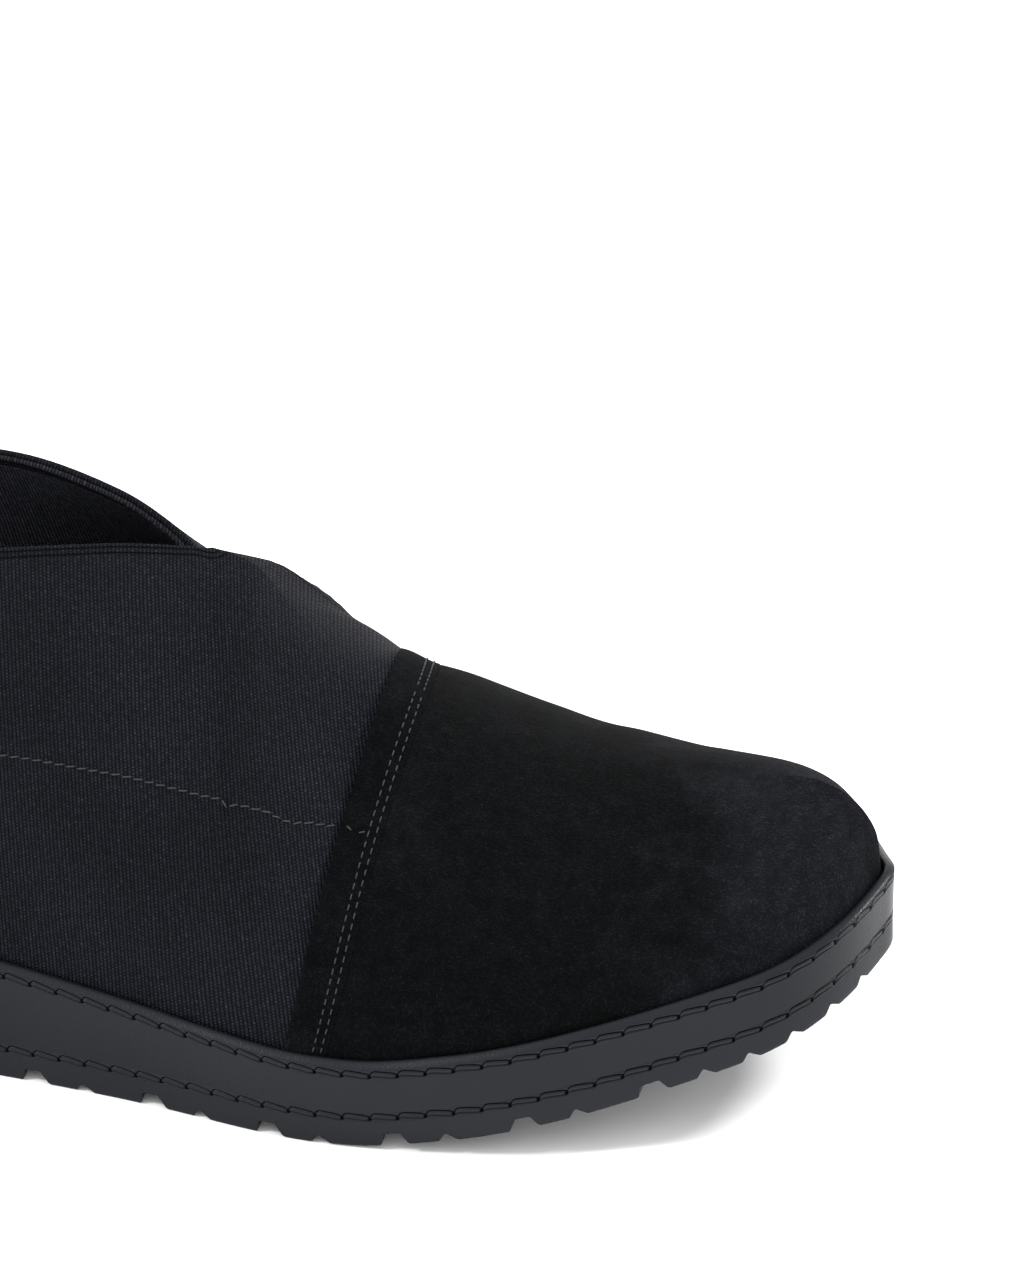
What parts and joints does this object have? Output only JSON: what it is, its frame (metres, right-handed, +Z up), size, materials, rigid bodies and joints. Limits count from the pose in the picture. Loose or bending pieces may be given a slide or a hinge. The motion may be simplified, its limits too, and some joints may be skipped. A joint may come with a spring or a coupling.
{
  "type": "slip-on shoe",
  "caption": "Left slip-on shoe: suede toe and heel, wide elastic bands crossing over the instep, low wedge rubber sole with mock stitching.",
  "frame": {"origin": "on the floor, under the middle of the shoe's length and width", "axes": "+X toward the toe, +Y toward the outer side of the foot, +Z up"},
  "size_m": [0.26, 0.0874, 0.0869],
  "materials": {
    "tread_rubber": "matt dark grey moulded rubber",
    "sole_rubber": "satin dark blue-grey moulded rubber",
    "footbed": "plain dark footbed cover",
    "lining": "inner face of the woven elastic",
    "elastic": "finely ribbed woven elastic, dark grey",
    "strip_suede": "black suede with a raw edge",
    "suede": "black suede with brushed lighter patches",
    "counter_suede": "plain black suede"
  },
  "bodies": {
    "root": {"outsole": "tread_rubber", "midsole": "sole_rubber", "insole": "footbed", "upper": "lining", "inner_band": "elastic", "outer_band": "elastic", "vamp_strip": "strip_suede", "vamp": "suede", "heel_counter": "counter_suede"}
  },
  "joints": []
}
